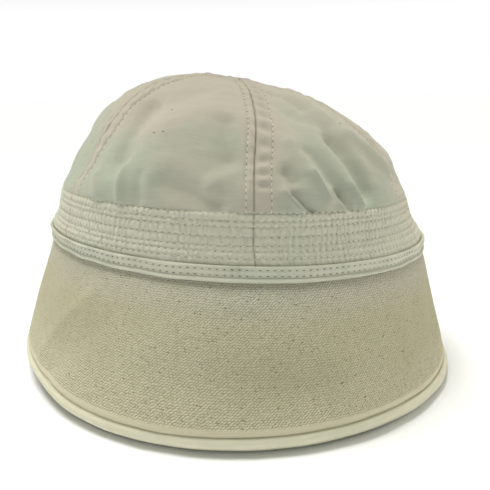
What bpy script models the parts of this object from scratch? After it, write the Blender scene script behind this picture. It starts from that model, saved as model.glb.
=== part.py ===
# A soft cotton sailor cap with a turned-down brim, standing on its hem.
#
# The front faces -Y, +X is to the right as the front is looked at, and +Z is up.
# Lengths are metres. Angles are degrees, turned from the front towards +X.

import math
from collections import namedtuple

import bmesh
import bpy
from mathutils import Vector

# Driving sizes of the cap
BAND_RADIUS = 0.0930
HEM_HEIGHT = 0.0078
BRIM_DROP = 0.0519
BRIM_FLARE = 0.0165
TAPE_HEIGHT = 0.0060
BAND_HEIGHT = 0.0176
BAND_TAPER = 0.0062
CROWN_RISE = 0.0536

# Cloth thicknesses
GORE_WALL = 0.0014
HEADBAND_WALL = 0.0015
BRIM_WALL = 0.0020
TAPE_WALL = 0.0012
HEM_THICKNESS = 0.0044

# Fits between the sewn pieces
SEWN_GAP = 0.0003
TAPE_PROUD = 0.0006
PIPING_HEIGHT = 0.0024
PIPING_PROUD = 0.0008
TUCK_RUN = 0.0030
JOINT_SHARE = 0.45

# The gores and their seams
GORE_COUNT = 6
FRONT_SEAM_TURN = 3.0
SEAM_VALLEY = 0.0012
APEX_HOLE = 0.0009

# Stations over which the valleys beside the seams deepen above the band and fade at the apex
VALLEY_START_RUN = 1.5
VALLEY_END_RUN = 2.0

# The hem's section: how far it stands out from the brim, and how square it is
# (1 is round, and less is squarer)
HEM_PROUD = 0.0007
HEM_ROUNDING = 0.7

# The piping stands fully out from this share of its height to the same share below its top,
# and the tape's top edge is cut off by this share of its wall
PIPING_SHOULDER = 0.3
TAPE_CHAMFER = 0.3

# Share of the crown's rise over which its folds begin above the band
FOLD_START_SHARE = 0.08

# Edges sharper than this angle stay sharp in the shading
SHARP_ANGLE = 50.0

# Fineness of the meshes
GORE_COLUMN_COUNT = 12
CROWN_ROW_COUNT = 12
BAND_ROW_COUNT = 2
BRIM_ROW_COUNT = 5
HEM_SIDE_COUNT = 12

# How finely a height is looked for among the stations
SEARCH_COUNT = 40
APEX_SEARCH_STEP = 0.005

# How far apart the points are that tell which way the outer face looks, in degrees
# and stations, and how near to its two ends it is asked for
TURN_PROBE = 0.5
STATION_PROBE = 0.05
END_MARGIN = 0.1

# Colour and roughness of each kind of cloth
CLOTHS = {
    "crown_cotton": ((0.46, 0.46, 0.37), 0.85),
    "headband_cotton": ((0.44, 0.43, 0.35), 0.85),
    "tape_cotton": ((0.46, 0.45, 0.36), 0.8),
    "brim_cotton": ((0.43, 0.41, 0.28), 0.9),
    "hem_cotton": ((0.49, 0.46, 0.34), 0.8),
}

# One row for each level section of the cap, from the hem's foot to the apex.
# zone and rise: which height it stands on and how far up it, as a share.
# reach: its radius as a share of the zone's own radius.
# side, back: how far its middle lies to +X and +Y, as shares of BAND_RADIUS.
# oval, skew, point, lobe: shares of the radius that make it longer front to back,
# turned, pointed at the front and lopsided.
# tip, nod: how far its -X side and its front are lifted, as shares of the radius.
Section = namedtuple("Section", "name zone rise reach side back oval skew point lobe tip nod")
SECTIONS = (
    Section("foot", "hem", 0.00, 0.985, 0.040, 0.000, 0.020, 0.040, 0.010, -0.015, 0.000, 0.000),
    Section("groove", "hem", 1.00, 1.000, 0.025, -0.005, 0.040, 0.040, 0.010, -0.010, 0.000, 0.000),
    Section("brim_low", "brim", 0.38, 0.650, 0.045, 0.000, 0.040, 0.035, 0.010, -0.005, 0.035, 0.010),
    Section("brim_high", "brim", 0.71, 0.310, 0.065, 0.000, 0.030, 0.020, 0.010, 0.000, 0.045, 0.015),
    Section("tape_foot", "brim", 1.00, 0.000, 0.080, 0.005, 0.015, 0.005, 0.010, 0.000, 0.050, 0.015),
    Section("tape_top", "tape", 1.00, 0.000, 0.080, 0.005, 0.010, 0.000, 0.005, 0.000, 0.050, 0.015),
    Section("band_middle", "band", 0.43, 0.680, 0.075, 0.000, 0.015, -0.010, 0.005, 0.000, 0.045, 0.025),
    Section("crown_foot", "band", 1.00, 1.000, 0.080, 0.000, 0.025, -0.020, 0.005, 0.005, 0.050, 0.035),
    Section("crown_1", "crown", 0.18, 0.960, 0.085, 0.000, 0.045, -0.020, 0.005, 0.000, 0.050, 0.040),
    Section("crown_2", "crown", 0.37, 0.895, 0.095, 0.000, 0.040, -0.010, 0.005, 0.000, 0.065, 0.030),
    Section("crown_3", "crown", 0.56, 0.805, 0.110, 0.000, 0.035, -0.005, 0.005, 0.000, 0.120, 0.020),
    Section("crown_4", "crown", 0.74, 0.670, 0.120, 0.000, 0.035, -0.005, 0.005, 0.000, 0.155, 0.020),
    Section("crown_5", "crown", 0.88, 0.500, 0.120, 0.000, 0.035, 0.000, 0.005, 0.000, 0.170, 0.015),
    Section("crown_6", "crown", 0.96, 0.320, 0.110, 0.000, 0.030, 0.000, 0.000, 0.000, 0.165, 0.015),
    Section("crown_7", "crown", 0.99, 0.150, 0.100, 0.000, 0.030, 0.000, 0.000, 0.000, 0.165, 0.015),
    Section("apex", "crown", 1.00, 0.000, 0.100, 0.000, 0.000, 0.000, 0.000, 0.000, 0.165, 0.015),
)

# One row for each dent or fold of the crown: a straight line on the cloth, from
# (turn, rise) to (turn, rise), with rise as a share of CROWN_RISE above the band.
# width and depth are shares of BAND_RADIUS; a negative depth is a dent.
Fold = namedtuple("Fold", "name turn rise end_turn end_rise width depth")
FOLDS = (
    Fold("right slump", 35.0, 0.50, 37.0, 0.12, 0.075, -0.024),
    Fold("right shoulder", 48.0, 0.52, 54.0, 0.28, 0.080, 0.012),
    Fold("front ridge", 17.0, 0.46, 23.0, 0.08, 0.060, 0.014),
    Fold("front crease", 13.0, 0.12, 17.0, 0.03, 0.045, -0.010),
    Fold("far ridge", 31.0, 0.14, 35.0, 0.02, 0.045, 0.010),
    Fold("left hollow", -38.0, 0.60, -42.0, 0.30, 0.120, -0.018),
    Fold("left front hollow", -17.0, 0.22, -8.0, 0.10, 0.100, -0.016),
    Fold("left ridge", -36.0, 0.24, -35.0, 0.06, 0.060, 0.012),
    Fold("front hollow", -4.0, 0.52, -2.0, 0.40, 0.080, -0.012),
    Fold("top hollow", 34.0, 0.86, 30.0, 0.72, 0.090, -0.014),
    Fold("back hollow", 150.0, 0.50, 165.0, 0.20, 0.130, -0.020),
    Fold("back ridge", -160.0, 0.40, -150.0, 0.12, 0.090, 0.014),
    Fold("back side hollow", -105.0, 0.45, -112.0, 0.18, 0.120, -0.018),
)

# Heights of the levels that the sections stand on
FOOT_LEVEL = 0.0
GROOVE_LEVEL = FOOT_LEVEL + HEM_HEIGHT
TAPE_FOOT_LEVEL = GROOVE_LEVEL + BRIM_DROP
TAPE_TOP_LEVEL = TAPE_FOOT_LEVEL + TAPE_HEIGHT
CROWN_FOOT_LEVEL = TAPE_TOP_LEVEL + BAND_HEIGHT
JOINT_LEVEL = TAPE_FOOT_LEVEL + TAPE_HEIGHT * JOINT_SHARE
TUCK_DEPTH = TAPE_WALL - TAPE_PROUD + SEWN_GAP
ZONE_LEVEL = {
    "hem": (FOOT_LEVEL, HEM_HEIGHT),
    "brim": (GROOVE_LEVEL, BRIM_DROP),
    "tape": (TAPE_FOOT_LEVEL, TAPE_HEIGHT),
    "band": (TAPE_TOP_LEVEL, BAND_HEIGHT),
    "crown": (CROWN_FOOT_LEVEL, CROWN_RISE),
}
STATION = {section.name: float(index) for index, section in enumerate(SECTIONS)}


def section_values(section):
    """Return the section's height, radius and shape numbers in metres and shares."""
    level, height = ZONE_LEVEL[section.zone]
    if section.zone == "hem":
        radius = (BAND_RADIUS + BRIM_FLARE) * section.reach
    elif section.zone == "brim":
        radius = BAND_RADIUS + BRIM_FLARE * section.reach
    elif section.zone == "tape":
        radius = BAND_RADIUS
    elif section.zone == "band":
        radius = BAND_RADIUS - BAND_TAPER * section.reach
    else:
        radius = (BAND_RADIUS - BAND_TAPER) * section.reach
    return (
        level + height * section.rise,
        radius,
        section.side * BAND_RADIUS,
        section.back * BAND_RADIUS,
        section.oval,
        section.skew,
        section.point,
        section.lobe,
        section.tip,
        section.nod,
    )


SECTION_VALUES = [section_values(section) for section in SECTIONS]


def values_at(station):
    """Return the section numbers at a station, on a smooth curve through the rows."""
    last = len(SECTION_VALUES) - 1
    station = min(max(station, 0.0), float(last))
    index = min(int(station), last - 1)
    share = station - index
    here = SECTION_VALUES[index]
    after = SECTION_VALUES[index + 1]
    before = SECTION_VALUES[index - 1] if index > 0 else [2 * a - b for a, b in zip(here, after)]
    beyond = SECTION_VALUES[index + 2] if index + 2 <= last else [2 * b - a for a, b in zip(here, after)]
    return [
        0.5 * (2 * b + (c - a) * share
               + (2 * a - 5 * b + 4 * c - d) * share ** 2
               + (3 * b - a - 3 * c + d) * share ** 3)
        for a, b, c, d in zip(before, here, after, beyond)
    ]


def station_at(level):
    """Return the station whose section stands at a height."""
    low = 0.0
    high = float(len(SECTION_VALUES) - 1)
    for _ in range(SEARCH_COUNT):
        middle = 0.5 * (low + high)
        if values_at(middle)[0] < level:
            low = middle
        else:
            high = middle
    return 0.5 * (low + high)


def smooth_step(value):
    """Return 0 to 1 with soft ends as value goes from 0 to 1."""
    value = min(max(value, 0.0), 1.0)
    return value * value * (3.0 - 2.0 * value)


def turn_difference(a, b):
    """Return the signed angle from b to a, in degrees, between -180 and 180."""
    return (a - b + 180.0) % 360.0 - 180.0


def seam_valley(station, turn):
    """Return how far the crown's cloth sinks towards the nearest seam."""
    half_gore = 180.0 / GORE_COUNT
    offset = (turn - FRONT_SEAM_TURN) % (2.0 * half_gore)
    from_seam = min(offset, 2.0 * half_gore - offset) / half_gore
    start = smooth_step((station - STATION["crown_foot"]) / VALLEY_START_RUN)
    end = smooth_step((STATION["apex"] - station) / VALLEY_END_RUN)
    return -SEAM_VALLEY * (1.0 - from_seam) ** 2 * start * end


def fold_relief(station, turn):
    """Return how far the crown's dents and folds move the cloth outwards."""
    share = (values_at(station)[0] - CROWN_FOOT_LEVEL) / CROWN_RISE
    if share <= 0.0:
        return 0.0
    upright = CROWN_RISE / BAND_RADIUS
    total = 0.0
    for fold in FOLDS:
        place = Vector((math.radians(turn_difference(turn, fold.turn)), (share - fold.rise) * upright))
        run = Vector((
            math.radians(turn_difference(fold.end_turn, fold.turn)),
            (fold.end_rise - fold.rise) * upright,
        ))
        along = min(max(place.dot(run) / run.length_squared, 0.0), 1.0)
        distance = (place - run * along).length
        total += fold.depth * math.exp(-(distance / fold.width) ** 2)
    return total * BAND_RADIUS * smooth_step(share / FOLD_START_SHARE)


def tuck(level):
    """Return how far the cloth is drawn in where it passes behind the tape."""
    below = smooth_step((level - (TAPE_FOOT_LEVEL - TUCK_RUN)) / TUCK_RUN)
    above = smooth_step((TAPE_TOP_LEVEL + TUCK_RUN - level) / TUCK_RUN)
    return -TUCK_DEPTH * min(below, above)


def base_point(station, turn):
    """Return the point of the outer face, before any relief, at a station and turn."""
    height, radius, side, back, oval, skew, point, lobe, tip, nod = values_at(station)
    angle = math.radians(turn)
    shape = 1.0 + oval * math.cos(2 * angle)
    shape += skew * math.sin(2 * angle)
    shape += point * math.cos(3 * angle)
    shape += lobe * math.sin(3 * angle)
    reach = radius * shape
    return Vector((
        side + reach * math.sin(angle),
        back - reach * math.cos(angle),
        height + radius * (nod * math.cos(angle) - tip * math.sin(angle)),
    ))


def outward(station, turn):
    """Return the direction that the outer face looks in."""
    station = min(max(station, END_MARGIN), STATION["apex"] - END_MARGIN)
    round_way = base_point(station, turn + TURN_PROBE) - base_point(station, turn - TURN_PROBE)
    up_way = base_point(station + STATION_PROBE, turn) - base_point(station - STATION_PROBE, turn)
    return round_way.cross(up_way).normalized()


def cloth_point(station, turn, depth):
    """Return a point of the brim, band or crown, a depth inside its outer face."""
    relief = tuck(values_at(station)[0]) + seam_valley(station, turn) + fold_relief(station, turn)
    return base_point(station, turn) + outward(station, turn) * (relief - depth)


def level_point(level, turn, proud):
    """Return a point at a height, standing a distance out from the plain outer face."""
    station = station_at(level)
    flat_way = outward(station, turn)
    flat_way.z = 0.0
    return base_point(station, turn) + flat_way.normalized() * proud


def spread(first, last, steps):
    """Return evenly spaced numbers from first to last."""
    return [first + (last - first) * step / steps for step in range(steps + 1)]


def brim_stations():
    """Return the brim's stations, from its foot above the hem to its edge behind the tape."""
    foot = station_at(GROOVE_LEVEL + SEWN_GAP)
    tuck_start = station_at(TAPE_FOOT_LEVEL - TUCK_RUN)
    behind_tape = [station_at(TAPE_FOOT_LEVEL), station_at(JOINT_LEVEL)]
    return spread(foot, tuck_start, BRIM_ROW_COUNT) + behind_tape


def band_stations():
    """Return the stations of the band, from its edge behind the tape to the crown."""
    edge = station_at(JOINT_LEVEL + SEWN_GAP)
    tape_top = station_at(TAPE_TOP_LEVEL)
    tuck_end = station_at(TAPE_TOP_LEVEL + TUCK_RUN)
    return [edge, tape_top] + spread(tuck_end, STATION["crown_foot"], BAND_ROW_COUNT)


def crown_stations():
    """Return the stations of the crown, from above the band to the hole at the apex."""
    tip = STATION["apex"]
    while values_at(tip)[1] < APEX_HOLE:
        tip -= APEX_SEARCH_STEP
    return spread(STATION["crown_foot"], tip, CROWN_ROW_COUNT)[1:]


def make_object(name, mesh_data, material):
    """Turn a bmesh into a smooth object of one material."""
    bmesh.ops.recalc_face_normals(mesh_data, faces=mesh_data.faces)
    mesh = bpy.data.meshes.new(name)
    mesh_data.to_mesh(mesh)
    mesh_data.free()
    mesh.materials.append(material)
    mesh.shade_smooth()
    mesh.set_sharp_from_angle(angle=math.radians(SHARP_ANGLE))
    piece = bpy.data.objects.new(name, mesh)
    bpy.context.scene.collection.objects.link(piece)
    return piece


def make_cloth(name):
    """Return a Principled material for one kind of cloth."""
    colour, roughness = CLOTHS[name]
    material = bpy.data.materials.new(name)
    material.use_nodes = True
    shader = material.node_tree.nodes["Principled BSDF"]
    shader.inputs["Base Color"].default_value = (*colour, 1.0)
    shader.inputs["Roughness"].default_value = roughness
    shader.inputs["Metallic"].default_value = 0.0
    return material


def make_ring(name, section_at, material):
    """Sweep a closed section round the cap. section_at gives its points at a turn."""
    ring = bmesh.new()
    loops = []
    ring_steps = GORE_COUNT * GORE_COLUMN_COUNT
    for step in range(ring_steps):
        turn = FRONT_SEAM_TURN + 360.0 * step / ring_steps
        loops.append([ring.verts.new(point) for point in section_at(turn)])
    for loop, following in zip(loops, loops[1:] + loops[:1]):
        for index in range(len(loop)):
            after = (index + 1) % len(loop)
            ring.faces.new((loop[index], loop[after], following[after], following[index]))
    return make_object(name, ring, material)


def level_cut(point, station, turn):
    """Return the point at its section's own height, as on an edge that is cut level."""
    return Vector((point.x, point.y, base_point(station, turn).z))


def wall_section(turn, stations, outer_depth, inner_depth, level_ends):
    """Return the closed section of a cloth wall. level_ends picks the ends cut level."""
    sides = []
    for depth in (outer_depth, inner_depth):
        points = [cloth_point(station, turn, depth) for station in stations]
        for end in level_ends:
            points[end] = level_cut(points[end], stations[end], turn)
        sides.append(points)
    return sides[0] + sides[1][::-1]


def make_gore(name, first_seam, material):
    """Make one gore: a curved wedge of cloth between two seams, up to the apex."""
    pitch = 360.0 / GORE_COUNT
    gore = bmesh.new()
    stations = band_stations() + crown_stations()
    faces = {}
    for side, depth in (("outer", 0.0), ("inner", GORE_WALL)):
        rows = []
        for station in stations:
            radius = values_at(station)[1]
            half_gap = math.degrees(math.asin(0.5 * SEWN_GAP / radius))
            turns = spread(first_seam + half_gap, first_seam + pitch - half_gap, GORE_COLUMN_COUNT)
            points = [cloth_point(station, turn, depth) for turn in turns]
            if station == stations[0]:
                points = [level_cut(point, station, turn) for point, turn in zip(points, turns)]
            rows.append([gore.verts.new(point) for point in points])
        faces[side] = rows
        for row, above in zip(rows, rows[1:]):
            for index in range(GORE_COLUMN_COUNT):
                gore.faces.new((row[index], row[index + 1], above[index + 1], above[index]))
    outer = rim_of(faces["outer"])
    inner = rim_of(faces["inner"])
    for index in range(len(outer)):
        after = (index + 1) % len(outer)
        gore.faces.new((outer[index], outer[after], inner[after], inner[index]))
    return make_object(name, gore, material)


def rim_of(rows):
    """Return the vertices round the edge of a grid, in order."""
    right = [row[-1] for row in rows[1:-1]]
    left = [row[0] for row in reversed(rows[1:-1])]
    return rows[0] + right + list(reversed(rows[-1])) + left


def headband_section(turn):
    """Return the section of the headband, which backs the gores behind the quilting."""
    face = GORE_WALL + SEWN_GAP
    return wall_section(turn, band_stations(), face, face + HEADBAND_WALL, (0,))


def brim_section(turn):
    """Return the brim's section."""
    return wall_section(turn, brim_stations(), 0.0, BRIM_WALL, (0, -1))


def hem_section(turn):
    """Return the hem's rounded section, with a flat foot to stand on."""
    step = 360.0 / HEM_SIDE_COUNT
    middle = HEM_PROUD - 0.5 * HEM_THICKNESS
    foot_height = math.cos(math.radians(0.5 * step))
    points = []
    for index in range(HEM_SIDE_COUNT):
        angle = math.radians(step * (index + 0.5))
        across = math.copysign(abs(math.cos(angle)) ** HEM_ROUNDING, math.cos(angle))
        upward = min(max(math.sin(angle) / foot_height, -1.0), 1.0)
        level = 0.5 * HEM_HEIGHT * (1.0 + upward)
        points.append(level_point(level, turn, middle + 0.5 * HEM_THICKNESS * across))
    return points


def tape_section(turn):
    """Return the tape's section, with the rounded piping along its foot."""
    inside = TAPE_PROUD - TAPE_WALL
    piping = TAPE_PROUD + PIPING_PROUD
    foot = TAPE_FOOT_LEVEL
    outline = (
        (inside, foot),
        (TAPE_PROUD, foot),
        (piping, foot + PIPING_SHOULDER * PIPING_HEIGHT),
        (piping, foot + (1.0 - PIPING_SHOULDER) * PIPING_HEIGHT),
        (TAPE_PROUD, foot + PIPING_HEIGHT),
        (TAPE_PROUD, TAPE_TOP_LEVEL - TAPE_CHAMFER * TAPE_WALL),
        (TAPE_PROUD - TAPE_CHAMFER * TAPE_WALL, TAPE_TOP_LEVEL),
        (inside, TAPE_TOP_LEVEL),
    )
    return [level_point(level, turn, proud) for proud, level in outline]


def stand_on_origin(pieces):
    """Put the pieces under one empty whose place centres the cap over the origin."""
    corners = [vertex.co for piece in pieces for vertex in piece.data.vertices]
    middle_x = 0.5 * (min(c.x for c in corners) + max(c.x for c in corners))
    middle_y = 0.5 * (min(c.y for c in corners) + max(c.y for c in corners))
    cap = bpy.data.objects.new("cap", None)
    bpy.context.scene.collection.objects.link(cap)
    cap.location = (-middle_x, -middle_y, 0.0)
    for piece in pieces:
        piece.parent = cap


def main():
    """Clear the scene and build the cap."""
    for old in list(bpy.data.objects):
        bpy.data.objects.remove(old, do_unlink=True)

    pieces = []
    crown_cotton = make_cloth("crown_cotton")
    for index in range(GORE_COUNT):
        first_seam = FRONT_SEAM_TURN + index * 360.0 / GORE_COUNT
        pieces.append(make_gore("crown_gore_%d" % (index + 1), first_seam, crown_cotton))

    pieces.append(make_ring("headband", headband_section, make_cloth("headband_cotton")))
    pieces.append(make_ring("band_tape", tape_section, make_cloth("tape_cotton")))
    pieces.append(make_ring("brim", brim_section, make_cloth("brim_cotton")))
    pieces.append(make_ring("brim_hem", hem_section, make_cloth("hem_cotton")))
    stand_on_origin(pieces)


main()
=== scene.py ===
import math
from functools import partial

import bmesh
import bpy
import numpy as np
from mathutils import Matrix, Vector


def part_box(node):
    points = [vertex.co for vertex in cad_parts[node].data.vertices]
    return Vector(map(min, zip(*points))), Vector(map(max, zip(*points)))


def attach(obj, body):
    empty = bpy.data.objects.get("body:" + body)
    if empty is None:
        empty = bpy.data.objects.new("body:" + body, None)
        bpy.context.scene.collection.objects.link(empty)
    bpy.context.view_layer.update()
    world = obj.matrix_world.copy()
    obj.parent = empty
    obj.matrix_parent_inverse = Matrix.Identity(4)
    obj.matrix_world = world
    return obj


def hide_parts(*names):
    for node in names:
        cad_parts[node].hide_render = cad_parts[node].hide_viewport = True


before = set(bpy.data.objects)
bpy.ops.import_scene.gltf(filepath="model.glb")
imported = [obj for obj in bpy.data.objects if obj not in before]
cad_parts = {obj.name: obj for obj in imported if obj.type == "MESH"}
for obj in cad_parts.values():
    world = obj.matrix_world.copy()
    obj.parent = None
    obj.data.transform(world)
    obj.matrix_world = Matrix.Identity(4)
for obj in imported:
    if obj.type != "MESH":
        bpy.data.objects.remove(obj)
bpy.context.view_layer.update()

# A soft cotton sailor cap standing on its turned-down brim. Lengths here are millimetres.
# turn is the angle round the cap in degrees, from the front towards the right.
# up is the length of cloth above the crown's foot, which is negative down the band and brim.
# station counts the rows of the table of levels, from 0 at the ground to the apex.

mm = 0.001

capForm = {
    "bandRadius": 93.0,
    "hemHeight": 7.8,
    "brimDrop": 51.9,
    "brimFlare": 16.5,
    "tapeHeight": 6.0,
    "bandHeight": 17.6,
    "bandTaper": 6.2,
    "crownRise": 53.6,
    "goreCount": 6,
    "frontSeam": 3.0,
}

# One row for each level of the cap: its zone, and then, in thousandths, how far up the zone and how
# far along its flare it lies, its shift to the side and back, and oval, skew, point, lobe, tip, nod
levelRows = (
    ("hem", 0, 985, 40, 0, 20, 40, 10, -15, 0, 0),
    ("hem", 1000, 1000, 25, -5, 40, 40, 10, -10, 0, 0),
    ("brim", 380, 650, 45, 0, 40, 35, 10, -5, 35, 10),
    ("brim", 710, 310, 65, 0, 30, 20, 10, 0, 45, 15),
    ("brim", 1000, 0, 80, 5, 15, 5, 10, 0, 50, 15),
    ("tape", 1000, 0, 80, 5, 10, 0, 5, 0, 50, 15),
    ("band", 430, 680, 75, 0, 15, -10, 5, 0, 45, 25),
    ("band", 1000, 1000, 80, 0, 25, -20, 5, 5, 50, 35),
    ("crown", 180, 960, 85, 0, 45, -20, 5, 0, 50, 40),
    ("crown", 370, 895, 95, 0, 40, -10, 5, 0, 65, 30),
    ("crown", 560, 805, 110, 0, 35, -5, 5, 0, 120, 20),
    ("crown", 740, 670, 120, 0, 35, -5, 5, 0, 155, 20),
    ("crown", 880, 500, 120, 0, 35, 0, 5, 0, 170, 15),
    ("crown", 960, 320, 110, 0, 30, 0, 0, 0, 165, 15),
    ("crown", 990, 150, 100, 0, 30, 0, 0, 0, 165, 15),
    ("crown", 1000, 0, 100, 0, 0, 0, 0, 0, 165, 15),
)
grooveStation = 1.0
crownFootStation = 7.0
apexStation = 15.0

# Levels that the pieces start and end on
grooveLevel = capForm["hemHeight"]
tapeFootLevel = grooveLevel + capForm["brimDrop"]
tapeTopLevel = tapeFootLevel + capForm["tapeHeight"]
crownFootLevel = tapeTopLevel + capForm["bandHeight"]

# The soft brim waves: its hem stands on its front and back and rises a little at both flanks.
# Each wave is a turn, a half width in degrees and a rise, and fades out on the way up to the tape.
hemWaves = ((-70.0, 26.0, 4.8), (31.0, 14.0, 0.6))
waveFade = 2.6  # stations

# Steps for finding the way out of the cloth, and the ends that they keep clear of
turnProbe = 0.5
stationProbe = 0.04
footMargin = 0.05
apexMargin = 0.1
profileSteps = 3000


def smoothStep(value):
    value = np.clip(value, 0.0, 1.0)
    return value * value * (3.0 - 2.0 * value)


def gauss(distance, width, sharpness=2.0):
    return np.exp(-(np.abs(distance) / width) ** sharpness)


def turnDifference(a, b):
    return (a - b + 180.0) % 360.0 - 180.0


def unit(vectors):
    return vectors / np.linalg.norm(vectors, axis=-1, keepdims=True)


def softNoise(point, wavelength, seed, waves=9, spread=(0.7, 1.4)):
    # A smooth wander made of a few sine waves in fixed directions
    random = np.random.default_rng(seed)
    total = np.zeros(point.shape[:-1])
    for _ in range(waves):
        way = random.normal(size=3)
        way = way / np.linalg.norm(way)
        reach = wavelength * random.uniform(*spread)
        total = total + np.sin(point @ way * (2 * math.pi / reach) + random.uniform(0, 2 * math.pi))
    return total / math.sqrt(waves)


def slackOf(point, layers):
    # Slack cloth: each layer is the depth, length and seed of its waves
    return sum(depth * softNoise(point, wavelength, seed) for depth, wavelength, seed in layers)


def rowNumbers(row):
    rise, reach, side, back, *shape = (number / 1000 for number in row[1:])
    band = capForm["bandRadius"]
    crownFoot = band - capForm["bandTaper"]
    zones = {
        "hem": (0.0, capForm["hemHeight"], (band + capForm["brimFlare"]) * reach),
        "brim": (grooveLevel, capForm["brimDrop"], band + capForm["brimFlare"] * reach),
        "tape": (tapeFootLevel, capForm["tapeHeight"], band),
        "band": (tapeTopLevel, capForm["bandHeight"], band - capForm["bandTaper"] * reach),
        "crown": (crownFootLevel, capForm["crownRise"], crownFoot * reach),
    }
    foot, height, radius = zones[row[0]]
    return [foot + height * rise, radius, side * band, back * band, *shape]


levelTable = np.array([rowNumbers(row) for row in levelRows])
# An extra row at each end lets the curve run straight on past the hem and the apex
belowHem = 2 * levelTable[0] - levelTable[1]
pastApex = 2 * levelTable[-1] - levelTable[-2]
paddedTable = np.vstack((belowHem, levelTable, pastApex))


def valuesAt(station):
    # A smooth curve through the rows of the table
    station = np.clip(station, 0.0, apexStation)
    index = np.minimum(station.astype(int), int(apexStation) - 1)
    share = (station - index)[..., None]
    a, b, c, d = (paddedTable[index + k] for k in range(4))
    curve = 2 * b + (c - a) * share
    curve = curve + (2 * a - 5 * b + 4 * c - d) * share ** 2
    curve = curve + (3 * b - a - 3 * c + d) * share ** 3
    return 0.5 * curve


def hemRise(station, turn):
    rise = sum(height * gauss(turnDifference(turn, middle), width) for middle, width, height in hemWaves)
    return rise * (1.0 - smoothStep((station - grooveStation) / waveFade))


def basePoint(station, turn):
    values = np.moveaxis(valuesAt(station), -1, 0)
    height, radius, side, back, oval, skew, point, lobe, tip, nod = values
    angle = np.radians(turn)
    shape = 1.0 + oval * np.cos(2 * angle) + skew * np.sin(2 * angle)
    shape = shape + point * np.cos(3 * angle) + lobe * np.sin(3 * angle)
    x = side + radius * shape * np.sin(angle)
    y = back - radius * shape * np.cos(angle)
    z = height + radius * (nod * np.cos(angle) - tip * np.sin(angle)) + hemRise(station, turn)
    return np.stack((x, y, z), axis=-1)


def outwardWay(station, turn):
    station = np.clip(station, footMargin, apexStation - apexMargin)
    roundWay = basePoint(station, turn + turnProbe) - basePoint(station, turn - turnProbe)
    upWay = basePoint(station + stationProbe, turn) - basePoint(station - stationProbe, turn)
    return unit(np.cross(roundWay, upWay))


# Tables that turn a height, or a length of cloth, into a station on the profile, and back
denseStations = np.linspace(0.0, apexStation, profileSteps + 1)
denseValues = valuesAt(denseStations)
denseSteps = np.hypot(np.diff(denseValues[:, 0]), np.diff(denseValues[:, 1]))
denseLength = np.concatenate(([0.0], np.cumsum(denseSteps)))
denseUp = denseLength - np.interp(crownFootStation, denseStations, denseLength)


stationAtLevel = partial(np.interp, xp=denseValues[:, 0], fp=denseStations)
stationAtUp = partial(np.interp, xp=denseUp, fp=denseStations)
upAtStation = partial(np.interp, xp=denseStations, fp=denseUp)
levelAt = partial(np.interp, xp=denseStations, fp=denseValues[:, 0])
radiusAt = partial(np.interp, xp=denseStations, fp=denseValues[:, 1])


def tapeUp(share):
    # The length of cloth at a share of the tape's height
    return float(upAtStation(stationAtLevel(tapeFootLevel + share * capForm["tapeHeight"])))


apexUp = float(upAtStation(apexStation))


def clothAt(up, turn):
    station = stationAtUp(up)
    return station, basePoint(station, turn), outwardWay(station, turn)


def edgeAt(level, turn):
    # As clothAt, for the tape and the hem, which stand out level
    station = stationAtLevel(level)
    way = outwardWay(station, turn)
    way[..., 2] = 0.0
    return basePoint(station, turn), unit(way)


# Materials
def linearColour(hexText):
    channels = [int(hexText[k:k + 2], 16) / 255 for k in (0, 2, 4)]
    linear = [c / 12.92 if c <= 0.04045 else ((c + 0.055) / 1.055) ** 2.4 for c in channels]
    return (*linear, 1.0)


def addNode(tree, kind, links=(), output=0, **settings):
    # A kind in capitals is the operation of a maths node, and one without a family is a shader node.
    # links gives the inputs in order, or maps an input's name or number, to a value or to another
    # node's output. One of the new node's outputs is handed back.
    if kind.isupper():
        kind, settings = "Math", {"operation": kind}
    node = tree.nodes.new(kind if "Node" in kind else "ShaderNode" + kind)
    for name, value in settings.items():
        setattr(node, name, value)
    for key, value in links.items() if isinstance(links, dict) else enumerate(links):
        if isinstance(value, bpy.types.NodeSocket):
            tree.links.new(value, node.inputs[key])
        else:
            node.inputs[key].default_value = value
    return node.outputs[output] if len(node.outputs) else node


def newMaterial(name):
    material = bpy.data.materials.new(name)
    material.use_nodes = True
    material.node_tree.nodes.clear()
    return material, partial(addNode, material.node_tree)


clothShader = {"IOR": 1.45, "Specular IOR Level": 0.25, "Sheen Roughness": 0.5}


def finishCloth(add, look, colour, height):
    bump = add("Bump", {"Height": height, "Strength": 1.0, "Distance": look["depth"] * mm})
    surface = {
        "Base Color": colour,
        "Roughness": look["roughness"],
        "Sheen Weight": look["sheen"],
        "Normal": bump,
    }
    add("OutputMaterial", {"Surface": add("BsdfPrincipled", {**clothShader, **surface})})


poplinLook = {
    "warm": "B9B1A4",
    "cool": "AAAF9F",
    "paintedShadeTone": "8D8A78",
    "quilted": "D5D1C1",
    "quiltedShare": 0.55,
    "blotchSize": 38.46,
    "blotchEdges": (0.3, 0.7),
    "paintedDimBelow": 112.0,
    "paintedLitAbove": 126.0,
    "paintedDimLean": 0.07,
    "paintedLitLean": 0.22,
    "seamHighlightLean": 0.34,
    "slubLong": 7.0,
    "slubTall": 0.8,
    "slubShade": 0.17,
    "rippleLong": 1.15,
    "rippleTall": 3.0,
    "rippleDepth": 16.0,
    "beatPitch": 2.4,
    "beatDepth": 0.16,
    "driftSize": 14.286,
    "drift": 22.0,
    "threadPitch": 0.55,
    "threadShare": 0.35,
    "depth": 0.05,
    "roughness": 0.86,
    "sheen": 0.12,
}


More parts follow.
